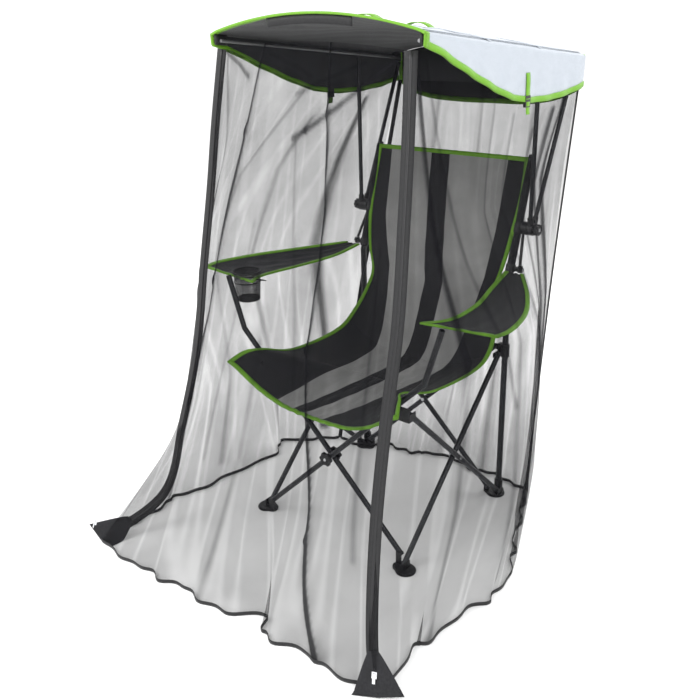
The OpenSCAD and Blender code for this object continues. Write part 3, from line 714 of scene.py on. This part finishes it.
class CHAIR_OT_arms(bpy.types.Operator):
    """Cloth arm rests with a binding, and the cup holder hanging from the left one"""
    bl_idname = "canopy_chair.arms"
    bl_label = "Arm rests and cup holder"

    def execute(self, context):
        cloth = settings().cloth
        painted_hole_shade = Vector(at(*CUP, 0))
        for side, sign, body in (("left", -1, "left_arm"), ("right", 1, "right_arm")):
            flat = (0.22, 0.50)
            fold = ((1, 0, 0), (sign * 0.29, 0, 0), 0.5)
            mesh = sheet_mesh(side + "_arm_cloth", 70, 150, lambda u, v: arm_point(sign, u, v), flat, 0.0)
            bm = bmesh.new()
            bm.from_mesh(mesh)
            if sign < 0:
                def reach(co):
                    return math.hypot(co.x - painted_hole_shade.x, co.y - painted_hole_shade.y)

                gone = [f for f in bm.faces if reach(f.calc_center_median()) < 0.0415]
                bmesh.ops.delete(bm, geom=gone, context="FACES")
                for vert in bm.verts:
                    if vert.is_boundary and reach(vert.co) < 0.05:
                        scale = 0.0425 / reach(vert.co)
                        vert.co.x = painted_hole_shade.x + (vert.co.x - painted_hole_shade.x) * scale
                        vert.co.y = painted_hole_shade.y + (vert.co.y - painted_hole_shade.y) * scale
            bmesh.ops.recalc_face_normals(bm, faces=bm.faces[:])
            bmesh.ops.solidify(bm, geom=bm.faces[:], thickness=cloth.thickness)
            bmesh.ops.recalc_face_normals(bm, faces=bm.faces[:])
            obj = piece(side + "_arm_cloth", mesh_of(bm, side + "_arm_cloth"), ["black_cloth"], body, "cloth",
                        [side + "_armrest"], fold)
            bpy.data.meshes.remove(mesh)
            t = np.linspace(0, 1, 80)
            edges = [((u, v), (np.clip(u, .08, .92), np.clip(v, .04, 1)))
                     for u, v in ((t * 0, t), (t * 0 + 1, t), (t, t * 0))]
            bound = binding_mesh(side + "_arm_binding", lambda u, v: arm_point(sign, u, v), edges,
                                 cloth.binding_width, cloth.thickness * SLING_BINDING)
            tape = piece(side + "_arm_binding", bound, ["binding"], body, "webbing", (), fold)
        top = at(*CUP, 0.7605)
        wall = [(0.0405, 0.0), (0.0395, -0.03), (0.037, -0.06), (0.0345, -0.0875)]
        net = turned_mesh("cup_net", wall, top)
        rims = joined("cup_rims", [
            turned_mesh("rim", ring_profile(0.0425, 0.0030, 0.001), top),
            turned_mesh("band", ring_profile(0.0395, 0.0016, -0.030, 8), top),
            turned_mesh("base", [(0.0, -0.087), (0.033, -0.087), (0.0355, -0.0845), (0.0355, -0.081),
                                 (0.0345, -0.081), (0.033, -0.0845), (0.0, -0.0848)], top)])
        wall_piece = piece("cup_net", net, ["cup_mesh"], "left_arm", "cloth", ["cup_holder"])
        rim_piece = piece("cup_rims", rims, ["black_tape"], "left_arm", "cloth")
        return {"FINISHED"}


# ---- pieces: canopy --------------------------------------------------------------------

# (y, z) of a flap's lower edge, from the front to the rear
FLAP_LINE = [(-.262, 1.398), (-.2, 1.378), (-.1, 1.337), (.03, 1.288), (.13, 1.257), (.23, 1.243),
             (.34, 1.241), (.45, 1.247), (.556, 1.262)]
ROOF_HALF, ROOF_ARCH, ROOF_FRONT, ROOF_REAR = 0.337, 0.040, -.264, .556
ROOF_Z, ROOF_SLOPE = 1.4265, math.tan(math.radians(5.52))


def roof_side_z(y):
    return ROOF_Z - (y - ROOF_FRONT) * ROOF_SLOPE


def canopy_point(u, v):
    """Point of the canopy: u from the left flap's edge over the roof to the right one's, v to the rear."""
    y = ROOF_FRONT + (ROOF_REAR - ROOF_FRONT) * v
    side = roof_side_z(y)
    low = np.interp(y, *zip(*FLAP_LINE))
    across = (np.clip(u, 0.25, 0.75) - 0.5) * 4
    drop = np.clip((0.25 - np.minimum(u, 1 - u)) * 4, 0, 1)
    sag = 0.004 * np.cos(v * np.pi * 4) * (1 - across ** 2)
    x = ROOF_HALF * across
    z = side + ROOF_ARCH * (1 - across ** 2) * np.where(drop > 0, 0, 1) + sag
    z = z + (low - side) * drop
    wave = 0.0028 * np.sin(y * 62 + 1.3) * drop ** 2
    pinch = 0.0016 * np.sin(across * 24) * np.sin(v * 43) * (1 - drop) * (1 - across ** 2)
    corner = np.maximum(0, 1 - np.abs(np.abs(u - 0.5) - 0.25) / 0.012)
    x = x * (1 - 0.006 * corner) + np.sign(u - 0.5) * wave
    return np.stack([x, y + MID_Y, z + pinch - 0.002 * corner], 1)


def valance_point(u, v):
    x = (u - 0.5) * 2 * ROOF_HALF * 0.985
    side = roof_side_z(ROOF_REAR) + ROOF_ARCH * (1 - (x / ROOF_HALF) ** 2)
    low = 1.203 + 0.058 * (np.abs(x) / ROOF_HALF) ** 4
    y = ROOF_REAR + MID_Y + 0.001 + 0.0035 * np.sin(x * 34) * v
    return np.stack([x, y, side - 0.001 + (low - side) * v], 1)


class CHAIR_OT_canopy(bpy.types.Operator):
    """One curved sheet over the arms with hanging flaps, a rear valance, a lining and bound edges"""
    bl_idname = "canopy_chair.canopy"
    bl_label = "Canopy"

    def execute(self, context):
        thick = settings().canopy.thickness
        width = settings().cloth.binding_width + 0.002

        def under(centre, normal):
            if abs(normal.z) > 0.6:
                return normal.z < 0
            return normal.x * centre.x < 0

        top_flat, back_flat = (1.04, 0.83), (0.665, 0.17)
        mesh = sheet_mesh("canopy_cloth", 176, 90, canopy_point, top_flat, thick, inside=under)
        top = piece("canopy_cloth", mesh, ["canopy_top", "lining"], "canopy", "canopy_cloth",
                    ["canopy_roof", "canopy_left_flap", "canopy_right_flap"], FOLD_ROOF)
        mesh = sheet_mesh("canopy_valance", 90, 20, valance_point, back_flat, thick,
                          inside=lambda centre, normal: normal.y < 0)
        back = piece("canopy_valance", mesh, ["canopy_top", "lining"], "canopy", "canopy_cloth",
                     ["canopy_rear_valance"], FOLD_ROOF)
        t = np.linspace(0, 1, 110)
        sides = [((t * 0, t), (t * 0 + 0.03, t)), ((t * 0 + 1, t), (t * 0 + 0.97, t))]
        bound = [binding_mesh("tape", surface, edges, width, thick * CANOPY_BINDING) for surface, edges in (
            (canopy_point, [*sides, ((t, t * 0), (t, t * 0 + 0.03))]),
            (valance_point, [((t, t * 0 + 1), (t, t * 0 + 0.9)), *sides]))]
        binding = joined_piece("canopy_binding", bound, ["binding"], "canopy", "webbing", (),
                        FOLD_ROOF)
        seams = []
        for v in (0.34, 0.66):
            path = canopy_point(np.linspace(0.252, 0.748, 90), np.full(90, v))
            path[:, 2] += 0.0022
            seams.append(ribbon_mesh("seam", path, (0, 1, 0), 0.011, 0.001))
        for u in (0.262, 0.738):
            path = canopy_point(np.full(90, u), np.linspace(0.01, 0.99, 90))
            path[:, 2] += 0.0022
            seams.append(ribbon_mesh("seam", path, (1, 0, 0), 0.009, 0.001))
        seam = joined_piece("canopy_seams", seams, ["canopy_top"], "canopy", "canopy_cloth", (),
                     FOLD_ROOF)
        strip = canopy_point(np.linspace(0.40, 0.60, 40), np.full(40, 0.0))
        strip[:, 2] -= 0.013
        mesh = ribbon_mesh("front_closure", strip + (0, 0.003, 0), (0, 0, 1), 0.022, 0.002)
        hook = piece("front_closure", mesh, ["black_tape"], "canopy", "canopy_cloth", (), FOLD_ROOF)
        pockets = []
        for sx in (-1, 1):
            for y in (-.245, .53):
                z = roof_side_z(y) - 0.012
                path = resampled([(sx * .325, y - .018, z), (sx * .325, y + .022, z - .004)], 6)
                pockets.append(ribbon_mesh("pocket", path, (0, 0, 1), 0.026, 0.006))
        pocket = joined_piece("corner_pockets", pockets, ["black_tape"], "canopy", "canopy_cloth",
                       (), FOLD_ROOF)
        return {"FINISHED"}


class CHAIR_OT_webbing(bpy.types.Operator):
    """Two carry handles sewn on the roof, and a strap with a buckle on each side flap"""
    bl_idname = "canopy_chair.webbing"
    bl_label = "Handles and straps"

    def execute(self, context):
        loops = []
        for y in (-.04, .19):
            base = roof_side_z(y)
            x = np.linspace(-.078, .078, 60)
            rise = 0.0165 * np.clip(1 - (np.abs(x) / .05) ** 2.4, 0, 1)
            roof = base + ROOF_ARCH * (1 - (x / ROOF_HALF) ** 2) + 0.0045
            path = np.stack([x, np.full(60, y + MID_Y), roof + rise], 1)
            loops.append(ribbon_mesh("handle", path, (0, 1, 0), 0.026, 0.0022))
        joined_piece("handle_loops", loops, ["webbing"], "canopy", "webbing", ["carry_handles"],
              FOLD_ROOF)
        straps = []
        for sx in (-1, 1):
            path = resampled(mirrored([(.3385, .205, 1.318), (.3405, .205, 1.30), (.3408, .205, 1.275),
                                       (.3418, .205, 1.252)], sx), 30)
            straps.append(ribbon_mesh("strap", path, (0, 1, 0), 0.020, 0.0016))
            tail = resampled(mirrored([(.3425, .205, 1.246), (.3415, .207, 1.225), (.3435, .206, 1.214)],
                                      sx), 16)
            straps.append(ribbon_mesh("tail", tail, (0, 1, 0), 0.018, 0.0014))
        joined_piece("side_straps", straps, ["webbing"], "canopy", "webbing", ["canopy_straps"],
              FOLD_ROOF)
        return {"FINISHED"}


# ---- pieces: net -------------------------------------------------------------------------

FRONT_RIGHT_LINE = [(.301, -.265, 1.389), (.32, -.303, 1.201), (.339, -.345, 1.03), (.365, -.406, .811),
                    (.378, -.476, .575), (.403, -.55, .343), (.447, -.625, .115), (.496, -.668, .003)]
FRONT_LEFT_LINE = [(-.305, -.258, 1.389), (-.332, -.28, 1.201), (-.345, -.306, 1.03), (-.364, -.343, .811),
                   (-.384, -.381, .575), (-.416, -.44, .343), (-.455, -.512, .115), (-.546, -.69, .003)]
REAR_RIGHT_LINE = [(.322, .549, 1.262), (.329, .475, .90), (.338, .42, .65), (.344, .37, .33),
                   (.35, .318, .003)]
REAR_LEFT_LINE = [(-.322, .549, 1.262), (-.335, .45, .90), (-.35, .37, .65), (-.365, .30, .33),
                  (-.38, .235, .003)]
FRONT_HEM = [(-.546, -.69), (-.44, -.706), (-.34, -.70), (-.26, -.712), (-.18, -.683), (-.10, -.694),
             (0, -.684), (.09, -.64), (.12, -.667), (.17, -.686), (.27, -.669), (.39, -.677), (.496, -.668)]
RIGHT_HEM = [(.496, -.668), (.47, -.49), (.50, -.46), (.508, -.283), (.524, -.174), (.508, -.032),
             (.457, .062), (.393, .2), (.35, .318)]
LEFT_HEM = [(-.546, -.69), (-.552, -.58), (-.544, -.452), (-.553, -.38), (-.512, -.238), (-.493, -.003),
            (-.535, .081), (-.455, .16), (-.38, .235)]
REAR_HEM = [(.35, .318), (.26, .345), (.171, .331), (.069, .345), (-.045, .336), (-.094, .3), (-.186, .296),
            (-.30, .235), (-.38, .235)]


def on_floor(points):
    return [(x, y, 0.003) for x, y in points]


def roof_hang(sign):
    """Where a side wall hangs, just inside its flap's lower edge."""
    return [(sign * .305, -.258, 1.389), *[(sign * .330, y, z + 0.004) for y, z in FLAP_LINE[1:-1]],
            (sign * .322, .549, 1.262)]


def levels(line, others):
    """Cross-lines of a panel from the top one down, each a curve given as points."""
    return [world_points(points) for points in (line, *others)]


PANELS = {
    "front": levels([(-.305, -.258, 1.389), (-.15, -.262, 1.402), (0, -.264, 1.408), (.15, -.264, 1.402),
                     (.301, -.265, 1.389)], [
        [(-.345, -.306, 1.03), (-.2, -.335, 1.03), (0, -.36, 1.03), (.2, -.36, 1.03), (.339, -.345, 1.03)],
        [(-.371, -.356, .70), (-.22, -.42, .70), (0, -.452, .70), (.2, -.46, .70), (.371, -.44, .70)],
        [(-.416, -.44, .343), (-.25, -.53, .343), (0, -.565, .343), (.2, -.56, .343), (.403, -.55, .343)],
        on_floor(FRONT_HEM)]),
    "right": levels(roof_hang(1), [
        [(.339, -.345, 1.03), (.40, -.25, 1.03), (.425, -.15, 1.03), (.40, 0, 1.03), (.355, .2, 1.03),
         (.328, .48, 1.03)],
        [(.371, -.44, .70), (.47, -.31, .72), (.553, -.19, .74), (.535, -.05, .74), (.46, .1, .73),
         (.337, .43, .70)],
        [(.403, -.55, .343), (.49, -.38, .343), (.545, -.2, .343), (.535, -.03, .343), (.44, .15, .343),
         (.344, .37, .343)],
        on_floor(RIGHT_HEM)]),
    "left": levels(roof_hang(-1), [
        [(-.345, -.306, 1.03), (-.40, -.23, 1.03), (-.43, -.15, 1.03), (-.41, 0, 1.03), (-.36, .2, 1.03),
         (-.331, .46, 1.03)],
        [(-.371, -.356, .70), (-.46, -.29, .72), (-.552, -.19, .74), (-.535, -.05, .74), (-.46, .1, .73),
         (-.348, .38, .70)],
        [(-.416, -.44, .343), (-.50, -.36, .343), (-.547, -.2, .343), (-.53, -.03, .343), (-.47, .12, .343),
         (-.365, .30, .343)],
        on_floor(LEFT_HEM)]),
    "rear": levels([(.322, .549, 1.262), (.16, .552, 1.262), (0, .553, 1.262), (-.16, .552, 1.262),
                    (-.322, .549, 1.262)], [
        [(.329, .475, .90), (.16, .50, .90), (0, .50, .90), (-.16, .49, .90), (-.335, .45, .90)],
        [(.338, .42, .65), (.16, .45, .65), (0, .45, .65), (-.16, .43, .65), (-.35, .37, .65)],
        [(.344, .37, .343), (.16, .40, .343), (0, .40, .343), (-.16, .37, .343), (-.365, .30, .343)],
        on_floor(REAR_HEM)]),
}
OUTWARD = {"front": (0, -1, 0), "right": (1, 0, 0), "left": (-1, 0, 0), "rear": (0, 1, 0)}
CREASE_CONTRAST = 1.9
# folds of each panel, as lines from (u, v) to (u, v) with their half width and how dense they look
CREASES = {
    "front": (
        (.27, .0, .235, .15, .006, .3), (.235, .15, .15, .42, .007, .32), (.15, .42, .01, .7, .01, .34),
        (.63, .0, .66, .48, .0035, .4), (.66, .48, .775, .8, .0045, .4), (.775, .8, .86, 1.0, .006, .4),
        (.95, .02, .55, .14, .006, .22), (.55, .14, .48, .155, .006, .2), (.8, .03, .47, .09, .005, .14),
        (.04, .01, .2, .06, .006, .2), (.3, .02, .55, .06, .005, .14), (.5, .16, .62, .55, .008, .08),
        (.35, .3, .3, .75, .01, .08), (.45, .5, .42, 1.0, .012, .09), (.9, .3, .93, .8, .01, .1),
    ),
    "right": (
        (.02, .05, .22, .5, .012, .26), (.06, .02, .42, .6, .009, .12), (.22, .5, .25, 1.0, .014, .12),
        (.8, .05, .92, .95, .018, .24), (.86, .02, .95, .95, .014, .26), (.7, .1, .86, .95, .014, .16),
        (.4, .02, .45, .95, .01, .1), (.55, .05, .65, .9, .012, .12),
    ),
    "left": (
        (.02, .05, .22, .5, .012, .26), (.1, .02, .4, .55, .009, .12), (.22, .5, .28, 1.0, .014, .14),
        (.82, .05, .93, .95, .018, .22), (.6, .1, .72, .95, .014, .12), (.45, .02, .5, .95, .01, .1),
    ),
    "rear": (
        (.2, 0, .25, 1, .012, .12), (.5, 0, .45, 1, .01, .1), (.75, 0, .8, 1, .012, .12),
    ),
}
LEVEL_AT = {"front": (0.0, .26, .49, .75, 1.0), "right": (0.0, .26, .49, .75, 1.0),
            "left": (0.0, .26, .49, .75, 1.0), "rear": (0.0, .285, .485, .73, 1.0)}


def crease_distance(u, v, crease):
    u0, v0, u1, v1, half, _ = crease
    du, dv = u1 - u0, v1 - v0
    t = np.clip(((u - u0) * du + (v - v0) * dv) / (du * du + dv * dv), 0, 1)
    return np.hypot(u - u0 - t * du, v - v0 - t * dv) / half


def ripple(side, u, v):
    """Soft gathers, deeper towards the ground, the same on every run."""
    draw = np.random.default_rng({"front": 11, "right": 23, "left": 37, "rear": 41}[side])
    total = np.zeros_like(u)
    for _ in range(9):
        waves = draw.uniform(2.0, 11.0)
        lean = draw.uniform(-2.2, 2.2)
        phase = draw.uniform(0, math.tau)
        total += np.sin(math.tau * (waves * u + lean * v) + phase) * draw.uniform(.4, 1) / waves
    return total * smooth(u / 0.06) * smooth((1 - u) / 0.06)


def net_base(side, u, v):
    at_v = LEVEL_AT[side]
    curves = [spline(points, u) for points in PANELS[side]]
    i = np.clip(np.searchsorted(at_v, v, side="right") - 1, 0, len(at_v) - 2)
    stack = np.stack(curves)
    pick = np.arange(len(u))
    knots = np.array(at_v)
    f = ((v - knots[i]) / (knots[i + 1] - knots[i]))[:, None]
    before = stack[np.maximum(i - 1, 0), pick]
    a, b = stack[i, pick], stack[i + 1, pick]
    after = stack[np.minimum(i + 2, len(at_v) - 1), pick]
    soft = 0.5 * (2 * a + (b - before) * f + (2 * before - 5 * a + 4 * b - after) * f ** 2
                  + (3 * a - before - 3 * b + after) * f ** 3)
    straight = a + (b - a) * f
    return straight * 0.55 + soft * 0.45


def net_point(side, u, v):
    """Point of a net panel: u along the wall, v from the canopy down to the ground."""
    point = net_base(side, u, v)
    out = np.array(OUTWARD[side], float)
    lift = 0.020 * ripple(side, u, v) * (0.25 + 0.75 * v) * smooth(v / 0.05)
    for crease in CREASES[side]:
        lift += crease[5] * 0.022 * np.exp(-crease_distance(u, v, crease) ** 2 / 3)
    lift += 0.005 * np.sin(u * 75 + 3 * np.sin(v * 9)) * smooth((v - 0.80) / 0.2)
    return point + out * lift[:, None]


def net_crowd(side, u, v):
    """How much denser than a single flat layer the net looks."""
    dense = np.zeros_like(u)
    for crease in CREASES[side]:
        distance = crease_distance(u, v, crease)
        dense += crease[5] * np.clip(1.25 - distance, 0, 1) + crease[5] * 0.25 * np.exp(-(distance / 3) ** 2)
    step = 1e-3
    slope = (ripple(side, u + step, v) - ripple(side, u - step, v)) / (2 * step)
    dense += 0.05 * np.clip(np.abs(slope) / 3 - 0.4, 0, 1.6) * (0.4 + 0.6 * v)
    return dense * CREASE_CONTRAST


class CHAIR_OT_net(bpy.types.Operator):
    """Four walls of see-through net with their folds, hanging from the canopy to the ground"""
    bl_idname = "canopy_chair.net"
    bl_label = "Net walls"

    def execute(self, context):
        net = settings().net
        flats = {"front": (0.86, 1.42), "right": (1.00, 1.28), "left": (0.95, 1.25), "rear": (0.70, 1.33)}
        for side in PANELS:
            columns = net.columns if side != "rear" else net.columns // 2
            mesh = sheet_mesh(f"{side}_net", columns, net.rows, lambda u, v: net_point(side, u, v),
                              flats[side], crowd=lambda u, v: net_crowd(side, u, v))
            bm = bmesh.new()
            bm.from_mesh(mesh)
            bm.normal_update()
            facing = sum((f.normal.dot(Vector(OUTWARD[side])) * f.calc_area() for f in bm.faces))
            if facing < 0:
                bmesh.ops.reverse_faces(bm, faces=bm.faces[:])
            bm.to_mesh(mesh)
            bm.free()
            obj = piece(f"{side}_net", mesh, ["net"], "net", "net_mesh", [f"net_{side}_panel"], FOLD_ROOF)
        return {"FINISHED"}


def tape_over(name, line, facing, width, thickness, steps=70, lift=0.002):
    """Tape that follows a corner of the net and faces outwards."""
    path = resampled(line, steps)
    facing = np.array(facing, float) / np.linalg.norm(facing)
    along = np.gradient(path, axis=0)
    along /= np.linalg.norm(along, axis=1)[:, None]
    across = np.cross(along, facing)
    across /= np.linalg.norm(across, axis=1)[:, None]
    mesh = ribbon_mesh(name, path + facing * lift, across, width, thickness)
    for vert in mesh.vertices:
        vert.co.z = max(vert.co.z, 0.0008)
    return mesh


class CHAIR_OT_net_trim(bpy.types.Operator):
    """Zip tapes at the front corners, corner seams at the rear, the hem, and the patches at the feet"""
    bl_idname = "canopy_chair.net_trim"
    bl_label = "Zips and hem"

    def execute(self, context):
        width = settings().net.tape_width
        tapes, coils, patches = [], [], []
        corners = ((FRONT_LEFT_LINE, (.10, -.99, 0)), (FRONT_RIGHT_LINE, (.45, -.89, 0)))
        for line, facing in corners:
            tapes.append(tape_over("tape", line, facing, width, 0.0012))
            coils.append(tape_over("coil", line, facing, 0.0065, 0.0022, lift=0.0038))
        for line, facing in ((REAR_RIGHT_LINE, (.7, .7, 0)), (REAR_LEFT_LINE, (-.7, .7, 0))):
            tapes.append(tape_over("seam", line, facing, 0.014, 0.0012))
        hems = []
        for side in PANELS:
            t = np.linspace(0, 1, 150)
            path = net_point(side, t, np.ones_like(t))
            path[:, 2] = 0.0062
            hems.append(ribbon_mesh("hem", path, (0, 0, 1), 0.011, 0.0016))
        for line, facing in corners:
            foot = np.array(world_points(line)[-1])
            up = np.array(world_points(line)[-2])
            lean = (up - foot) / np.linalg.norm(up - foot)
            facing = np.array(facing)
            across = np.cross(lean, facing)
            across /= np.linalg.norm(across)

            def patch(u, v):
                half = 0.052 * (1 - v) ** 0.9 + 0.012
                spot = foot + lean * (v * 0.105)[:, None] + facing * 0.006
                spot += across * ((u - 0.5) * 2 * half)[:, None]
                spot[:, 2] = np.maximum(spot[:, 2], 0.003)
                return spot

            patches.append(sheet_mesh("patch", 8, 12, patch, (0.13, 0.105), 0.0022))
        tape = joined_piece("zip_tapes", tapes, ["black_tape"], "net", "net_trim", ["net_zip_tapes"],
                     FOLD_ROOF)
        joined_piece("zip_coils", coils, ["nylon"], "net", "net_trim", (), FOLD_ROOF)
        hem = joined_piece("hem_tape", hems, ["black_tape"], "net", "net_trim", ["net_hem"], FOLD_ROOF)
        joined_piece("corner_patches", patches, ["black_cloth"], "net", "net_trim", (),
              FOLD_ROOF)
        return {"FINISHED"}


# ---- stage ---------------------------------------------------------------------------------

class CHAIR_OT_stage(bpy.types.Operator):
    """Pale floor, soft studio light and the camera"""
    bl_idname = "canopy_chair.stage"
    bl_label = "Stage"

    def execute(self, context):
        scene = context.scene
        bm = bmesh.new()
        bmesh.ops.create_grid(bm, x_segments=2, y_segments=2, size=40.0)
        bmesh.ops.translate(bm, verts=bm.verts[:], vec=(0, 0, -0.0005))
        floor = bpy.data.objects.new("floor", mesh_of(bm, "floor", False))
        floor.data.materials.append(finish_of("floor"))
        scene.collection.objects.link(floor)
        world = bpy.data.worlds.new("studio")
        world.use_nodes = True
        world.node_tree.nodes["Background"].inputs["Color"].default_value = (1.0, 1.0, 1.0, 1.0)
        world.node_tree.nodes["Background"].inputs["Strength"].default_value = 1.3
        scene.world = world
        lamps = (("key", (-1.9, -2.6, 3.2), 2.4, 90.0), ("fill", (2.8, -1.6, 2.4), 2.2, 45.0),
                 ("back", (0.6, 2.8, 2.9), 2.4, 60.0))
        target = at(0, 0, 0.7)
        for name, place, size, power in lamps:
            lamp = bpy.data.lights.new(name, "AREA")
            lamp.energy = power
            lamp.size = size
            obj = bpy.data.objects.new(name, lamp)
            obj.matrix_world = Matrix.Translation(at(*place)) @ \
                (target - at(*place)).to_track_quat("-Z", "Y").to_matrix().to_4x4()
            scene.collection.objects.link(obj)
        camera = bpy.data.cameras.new("camera")
        camera.lens = 41.22
        camera.sensor_width = 36.0
        camera.shift_x = -0.02695
        camera.shift_y = 0.00669
        camera.clip_end = 60.0
        holder = bpy.data.objects.new("camera", camera)
        yaw, pitch, roll = 0.674099, -0.395435, -0.0203773
        forward = Vector((-math.sin(yaw) * math.cos(pitch), math.cos(yaw) * math.cos(pitch), math.sin(pitch)))
        right = Vector((math.cos(yaw), math.sin(yaw), 0))
        up = right.cross(forward)
        side = right * math.cos(roll) + up * math.sin(roll)
        top = up * math.cos(roll) - right * math.sin(roll)
        turn = Matrix((side, top, -forward)).transposed().to_4x4()
        holder.matrix_world = Matrix.Translation(at(1.373084, -1.774837, 1.451521)) @ turn
        scene.collection.objects.link(holder)
        scene.camera = holder
        scene.view_settings.view_transform = "Standard"
        return {"FINISHED"}


# ---- panel -----------------------------------------------------------------------------------

class CHAIR_PT_panel(bpy.types.Panel):
    """Lists the chair's operators and settings"""
    bl_idname = "CHAIR_PT_panel"
    bl_label = "Canopy Chair"
    bl_space_type = "VIEW_3D"
    bl_region_type = "UI"
    bl_category = "Canopy Chair"

    def draw(self, context):
        for group in (context.scene.canopy_chair.frame, context.scene.canopy_chair.cloth,
                      context.scene.canopy_chair.canopy, context.scene.canopy_chair.net):
            box = self.layout.box()
            for name in group.__annotations__:
                box.prop(group, name)
        for operator in OPERATORS:
            self.layout.operator(operator.bl_idname)


OPERATORS = (CHAIR_OT_frame, CHAIR_OT_rivets, CHAIR_OT_sling, CHAIR_OT_arms, CHAIR_OT_canopy,
             CHAIR_OT_webbing, CHAIR_OT_net, CHAIR_OT_net_trim, CHAIR_OT_stage)
CLASSES = (FrameSettings, ClothSettings, CanopySettings, NetSettings, ChairSettings, *OPERATORS,
           CHAIR_PT_panel)


def register():
    for cls in CLASSES:
        bpy.utils.register_class(cls)
    bpy.types.Scene.canopy_chair = PointerProperty(type=ChairSettings)


def unregister():
    del bpy.types.Scene.canopy_chair
    for cls in reversed(CLASSES):
        bpy.utils.unregister_class(cls)


def main():
    register()
    for operator in OPERATORS:
        group, name = operator.bl_idname.split(".")
        getattr(getattr(bpy.ops, group), name)()


if __name__ == "__main__":
    main()
